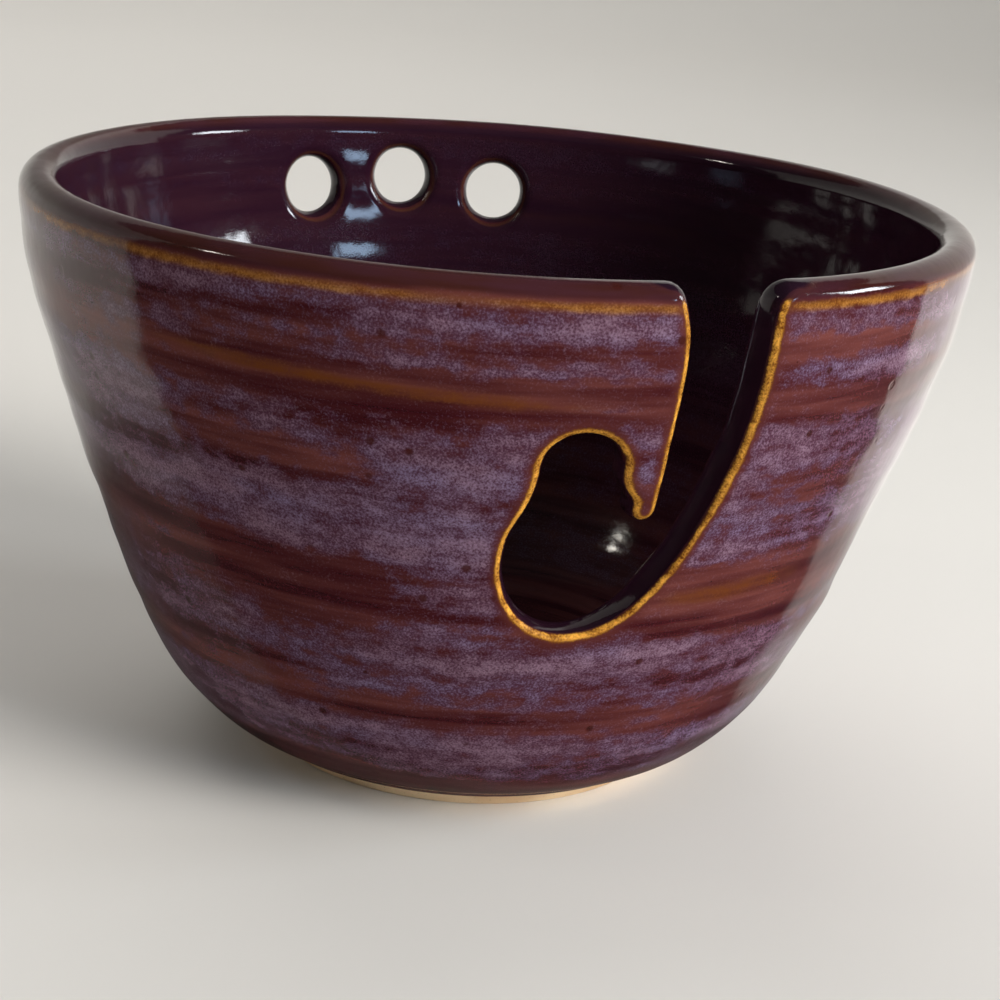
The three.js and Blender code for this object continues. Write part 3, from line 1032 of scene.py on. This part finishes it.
def make_floor():
    """A pale floor that sweeps up into a wall all round."""
    turns = np.linspace(-math.pi / 2, 0, SWEEP_STEPS)
    bend = [(FLOOR_RADIUS + SWEEP_RADIUS * math.cos(t), SWEEP_RADIUS * (1 + math.sin(t))) for t in turns]
    profile = [(0.0, 0.0), (0.3, 0.0), (0.8, 0.0), *bend, (FLOOR_RADIUS + SWEEP_RADIUS, SWEEP_HEIGHT)]
    points = []
    for radius, height in profile:
        for angle in np.arange(FLOOR_COLUMNS) * 2 * math.pi / FLOOR_COLUMNS:
            points.append((radius * math.cos(angle), radius * math.sin(angle), height))
    faces = []
    for row in range(len(profile) - 1):
        for i in range(FLOOR_COLUMNS):
            a = row * FLOOR_COLUMNS + i
            b = row * FLOOR_COLUMNS + (i + 1) % FLOOR_COLUMNS
            faces.append((a, a + FLOOR_COLUMNS, b + FLOOR_COLUMNS, b))
    mesh = bpy.data.meshes.new("pale_floor")
    mesh.from_pydata(points, [], faces)
    mesh.shade_smooth()
    floor = bpy.data.objects.new("pale_floor", mesh)
    bpy.context.scene.collection.objects.link(floor)
    mesh.materials.append(floor_material())


def make_light(name, size, watts, colour, towards, distance, aim_height=0.0, spread=180, reflected=False):
    """A rectangular light out in a direction from the bowl, that faces the bowl."""
    data = bpy.data.lights.new(name, "AREA")
    data.shape = "RECTANGLE"
    data.size, data.size_y = size
    data.energy = watts
    data.color = colour
    data.spread = math.radians(spread)
    light = bpy.data.objects.new(name, data)
    light.location = towards * distance + Vector((0, 0, aim_height))
    light.rotation_euler = towards.to_track_quat("Z", "Y").to_euler()
    light.visible_camera = False
    light.visible_glossy = reflected
    bpy.context.scene.collection.objects.link(light)


def make_lights():
    """Two soft lights that are not seen in the glaze, and two windows and a lamp that are."""
    make_light("overhead", (1.6, 1.6), 12.0, WARM, direction(90, 46), 1.6)
    make_light("key", (0.9, 0.9), 6.0, WARM, direction(-46, 25), 1.75, spread=60)
    rim = {"distance": 1.0, "aim_height": 0.09, "reflected": True}
    make_light("window", (0.24, 0.16), 2.4, DAYLIGHT, direction(-13, 19), **rim)
    make_light("low_window", (0.22, 0.12), 0.8, SKY_BLUE, direction(-60, 15), **rim)
    make_light("lamp", (0.06, 0.05), 0.3, LAMP, direction(177, 39), **rim)


def make_room():
    """The room's even light, dimmer in reflections."""
    world = bpy.data.worlds.new("soft_room")
    bpy.context.scene.world = world
    world.use_nodes = True
    n = Nodes(world.node_tree)
    in_reflection = n.add("ShaderNodeLightPath", {}, "Is Glossy Ray")
    strength = n.ramp(in_reflection, 0.0, 1.0, ROOM_LIGHT, ROOM_REFLECTED)
    background = n.add("ShaderNodeBackground", {"Color": ROOM_COLOUR, "Strength": strength})
    n.add("ShaderNodeOutputWorld", {"Surface": background})
    bpy.context.scene.view_settings.view_transform = "Standard"


def make_camera():
    """The photograph's viewpoint."""
    ahead = direction(CAMERA_HEADING, -CAMERA_PITCH)
    level_right = ahead.cross(Vector((0, 0, 1))).normalized()
    level_up = level_right.cross(ahead)
    roll = math.radians(CAMERA_ROLL)
    right = level_right * math.cos(roll) + level_up * math.sin(roll)
    up = level_up * math.cos(roll) - level_right * math.sin(roll)
    place = direction(CAMERA_AZIMUTH, 0) * CAMERA_DISTANCE + Vector((0, 0, CAMERA_HEIGHT))
    data = bpy.data.cameras.new("camera")
    data.lens = CAMERA_LENS
    data.clip_start = 0.01
    camera = bpy.data.objects.new("camera", data)
    facing = Matrix((right, up, -ahead)).transposed()
    camera.matrix_world = Matrix.Translation(place * MM) @ facing.to_4x4()
    bpy.context.scene.collection.objects.link(camera)
    bpy.context.scene.camera = camera


# ---------------------------------------------------------------- the whole

def place_piece(piece, material, part):
    """Gives a piece its material and puts it in place of a CAD part."""
    piece.data.materials.append(material)
    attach(piece, "root")
    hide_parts(part)


place_piece(make_glaze(), glaze_material(), "glaze_coat")
place_piece(make_clay(), clay_material(), "stoneware_body")
make_floor()
make_lights()
make_room()
make_camera()
